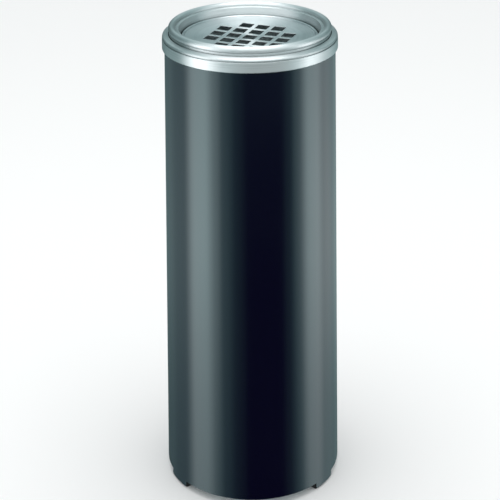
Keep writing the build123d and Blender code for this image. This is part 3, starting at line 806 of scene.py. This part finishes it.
# ---- Can wall ---------------------------------------------------------------------------------------
# Galvanised sheet rolled to a tube and closed by a folded lock seam, behind and clear of the bail. Two
# swaged beads stiffen it, and its upper edge is curled over the rim wire.
CAN_OUTER = 92.0
CAN_SHEET = 0.8
CAN_FOOT = 14.0
RIM_HEIGHT = 452.0
CURL_ROUND = 1.9
CURL_TURNS = range(180, -61, -15)
SWAGE_HEIGHTS = (64.0, 330.0)
SWAGE_RISE = 1.5
SWAGE_HALF = 5.0
SWAGE_STEPS = 6
CAN_TURN = 1.5
LOCK_ANGLE = 123.0
LOCK_HALF = 3.2
LOCK_RISE = 0.8
LOCK_SLOPE = 0.4
LOCK_HEAD = 444.0


def can_section(lift):
    """The can wall's section as (radius, height), its outer side raised by the lock seam's lift."""
    rise = [(0.0, CAN_FOOT)]
    for middle in SWAGE_HEIGHTS:
        for step in range(-SWAGE_STEPS, SWAGE_STEPS + 1):
            share = step / SWAGE_STEPS
            rise.append((SWAGE_RISE * (1 + math.cos(math.pi * share)) / 2, middle + SWAGE_HALF * share))
    rise.append((0.0, LOCK_HEAD))
    wire = CAN_OUTER + CURL_ROUND
    turns = [math.radians(turn) for turn in CURL_TURNS]
    section = [(CAN_OUTER + lift + r, z) for r, z in rise] + [(CAN_OUTER, LOCK_HEAD + 1.0)]
    section += [(wire + CURL_ROUND * math.cos(t), RIM_HEIGHT + CURL_ROUND * math.sin(t)) for t in turns]
    outer = CURL_ROUND + CAN_SHEET
    section += [(wire + outer * math.cos(t), RIM_HEIGHT + outer * math.sin(t)) for t in reversed(turns)]
    return section + [(CAN_OUTER - CAN_SHEET + r, z) for r, z in reversed(rise)]


lock_reach = math.degrees(LOCK_HALF / CAN_OUTER)
lock_ease = math.degrees((LOCK_HALF - LOCK_SLOPE) / CAN_OUTER)
can_angles = {i * CAN_TURN for i in range(240)} - {LOCK_ANGLE - CAN_TURN, LOCK_ANGLE + CAN_TURN}
can_angles |= {LOCK_ANGLE + side * turn for side in (-1, 1) for turn in (lock_reach, lock_ease)}
can_sections = []
for angle in sorted(can_angles):
    lift = LOCK_RISE if abs(angle - LOCK_ANGLE) < lock_ease + 0.01 else 0.0
    cos, sin = math.cos(math.radians(angle)), math.sin(math.radians(angle))
    can_sections.append([(r * cos, r * sin, z) for r, z in can_section(lift)])
can_sheet = bmesh.new()
skin(can_sheet, can_sections)
can_wall = finished_mesh("swaged_can_wall", can_sheet)
seen_as(can_wall, galvanised, "can", "galvanised", "can_wall")


# ---- Can bottom -------------------------------------------------------------------------------------
# A pressed disc with a stiffening ring, pushed up inside the wall with its flange down and soldered
# there, so that the can holds sand or water.
BOTTOM_TOP = 20.8
BOTTOM_EDGE = CAN_OUTER - CAN_SHEET
RING_MIDDLE = 63.0
RING_FOOT_HALF = 5.0
RING_TOP_HALF = 2.5
RING_RISE = 1.1
RING_SPREAD = 0.3


def stiffening_ring(height, spread):
    """The ring's corners from a face at a height, outwards, with its slopes moved out by a spread."""
    foot, top = RING_FOOT_HALF + spread, RING_TOP_HALF - spread
    low = [(RING_MIDDLE - foot, height, 1.0), (RING_MIDDLE + foot, height, 1.0)]
    high = [(RING_MIDDLE - top, height + RING_RISE, 1.0), (RING_MIDDLE + top, height + RING_RISE, 1.0)]
    return low[:1] + high + low[1:]


BOTTOM_SECTION = [(0.0, BOTTOM_TOP, 0.0)] + stiffening_ring(BOTTOM_TOP, 0.0)
BOTTOM_SECTION += [(BOTTOM_EDGE, BOTTOM_TOP, 0.6), (BOTTOM_EDGE, CAN_FOOT, 0.2)]
BOTTOM_SECTION += [(BOTTOM_EDGE - CAN_SHEET, CAN_FOOT, 0.2)]
BOTTOM_SECTION += [(BOTTOM_EDGE - CAN_SHEET, BOTTOM_TOP - CAN_SHEET, 0.4)]
BOTTOM_SECTION += reversed(stiffening_ring(BOTTOM_TOP - CAN_SHEET, RING_SPREAD))
BOTTOM_SECTION += [(0.0, BOTTOM_TOP - CAN_SHEET, 0.0)]
can_bottom = turned("pressed_can_bottom", eased(BOTTOM_SECTION), segments=240)
seen_as(can_bottom, galvanised, "can", "galvanised", "can_bottom")


# ---- Can ears ---------------------------------------------------------------------------------------
# Two plates of galvanised steel, bent to the can's round, with rounded corners and a bored boss that takes
# the bail's end. Each is held by two rivets. They keep the shapes that they have in the frame.


def dress(finish, *names):
    """Gives pieces of the frame a finish in every slot."""
    for name in names:
        for material_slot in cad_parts[name].material_slots:
            material_slot.material = finish


dress(galvanised, "can_ear_left", "can_ear_right")


# ---- Rubber feet ------------------------------------------------------------------------------------
# Three black rubber pads that the bin stands on, moulded to the shell's round. Each sits behind a tab, a
# little wider and lower than it, and is screwed up against the base plate.
RUBBER_DARK = "0B0B0C"
RUBBER_LIGHT = "151516"
RUBBER_GRAIN_MM = 0.6

# Moulded black rubber: matt, with the fine spark-eroded grain of its mould
rubber, rubber_tree, rubber_shader = new_finish("moulded_black_rubber")
rubber_place = add_node(rubber_tree, "ShaderNodeTexCoord").outputs["Object"]
rubber_grain = add_node(
    rubber_tree,
    "ShaderNodeTexNoise",
    {"Vector": rubber_place, "Scale": 1000 / RUBBER_GRAIN_MM, "Detail": 2.0},
).outputs["Fac"]
rubber_bump = add_node(
    rubber_tree, "ShaderNodeBump", {"Height": rubber_grain, "Strength": 0.3, "Distance": 0.0001}
)
rubber_tone = add_node(rubber_tree, "ShaderNodeValToRGB", {0: rubber_grain})
fill_ramp(rubber_tone, [(0.3, linear(RUBBER_DARK)), (0.7, linear(RUBBER_LIGHT))])
rubber_tree.links.new(rubber_tone.outputs[0], rubber_shader.inputs["Base Color"])
rubber_tree.links.new(rubber_bump.outputs[0], rubber_shader.inputs["Normal"])
rubber_shader.inputs["Roughness"].default_value = 0.75
rubber_shader.inputs["Specular IOR Level"].default_value = 0.3
dress(rubber, "foot_left", "foot_right", "foot_rear")


# ---- Collar screws, foot screws, washers and nuts ---------------------------------------------------
# Stock machine screws with cross recesses, plain washers and hexagon nuts. The collar's screws go in from
# inside the shell, and each foot's screw comes up through its pad to a nut on the base plate.
PLATED_DARK = "A9AEB3"
PLATED_LIGHT = "C6CBCF"
PLATED_CLOUD_MM = 8.0

# Bright zinc plate on steel: pale, faintly blue, and clouded where the chromate dip dried
plated, plated_tree, plated_shader = new_finish("zinc_plated_steel")
plated_place = add_node(plated_tree, "ShaderNodeTexCoord").outputs["Object"]
plated_cloud = add_node(
    plated_tree,
    "ShaderNodeTexNoise",
    {"Vector": plated_place, "Scale": 1000 / PLATED_CLOUD_MM, "Detail": 4.0},
).outputs["Fac"]
plated_tone = add_node(plated_tree, "ShaderNodeValToRGB", {0: plated_cloud})
fill_ramp(plated_tone, [(0.3, linear(PLATED_DARK)), (0.7, linear(PLATED_LIGHT))])
plated_gloss = add_node(
    plated_tree, "ShaderNodeMapRange", {"Value": plated_cloud, "To Min": 0.22, "To Max": 0.38}
)
plated_shader.inputs["Metallic"].default_value = 1.0
plated_tree.links.new(plated_tone.outputs[0], plated_shader.inputs["Base Color"])
plated_tree.links.new(plated_gloss.outputs[0], plated_shader.inputs["Roughness"])
dress(plated, "collar_screws", "foot_screws", "foot_washers", "foot_nuts")


# ---- Ear rivets -------------------------------------------------------------------------------------
# Solid steel rivets, two to an ear, with a low flat head inside the can and a head outside that the
# riveting set has domed.
RIVET_HEIGHT = 425.0
RIVET_ANGLES = (-5.0, 5.0, 175.0, 185.0)
RIVET_HEAD = 3.4
RIVET_SHANK = 1.75
RIVET_SIDES = 32
HEAD_RISE = 1.3
DOME_STEPS = 8
INNER_SEAT = 91.1
EAR_FACE = 94.0

# The inner head's outline, as its radius and how far it stands in from its seat on the can's wall
INNER_HEAD = ((0.0, HEAD_RISE), (2.7, HEAD_RISE), (3.25, 1.0), (RIVET_HEAD, 0.6), (RIVET_HEAD, 0.0))
rivet_profile = [(radius, INNER_SEAT - rise) for radius, rise in INNER_HEAD]
rivet_profile += [(RIVET_SHANK, INNER_SEAT), (RIVET_SHANK, EAR_FACE)]
for step in range(DOME_STEPS + 1):
    turn = math.radians(90 * step / DOME_STEPS)
    rivet_profile.append((RIVET_HEAD * math.cos(turn), EAR_FACE + HEAD_RISE * math.sin(turn)))
rivet_sheet = bmesh.new()
for angle in RIVET_ANGLES:
    outwards = Vector((math.cos(math.radians(angle)), math.sin(math.radians(angle)), 0))
    sideways_on = Vector((-outwards.y, outwards.x, 0))
    level = Vector((0, 0, RIVET_HEIGHT))
    rounds = []
    for step in range(RIVET_SIDES):
        turn = 2 * math.pi * step / RIVET_SIDES
        spoke = sideways_on * math.cos(turn) + Vector((0, 0, math.sin(turn)))
        rounds.append([outwards * along + spoke * radius + level for radius, along in rivet_profile])
    skin(rivet_sheet, rounds)
ear_rivets = finished_mesh("domed_ear_rivets", rivet_sheet)
seen_as(ear_rivets, plated, "can", "plated_steel", "ear_rivets")


# ---- Rim wire and bail ------------------------------------------------------------------------------
# The rim wire lies inside the wall's curl, and the bail is one length of the same drawn, zinc-plated
# wire, hooked into the ears at both ends and leaning on the can's front.
dress(plated, "can_rim_wire", "bail_handle")
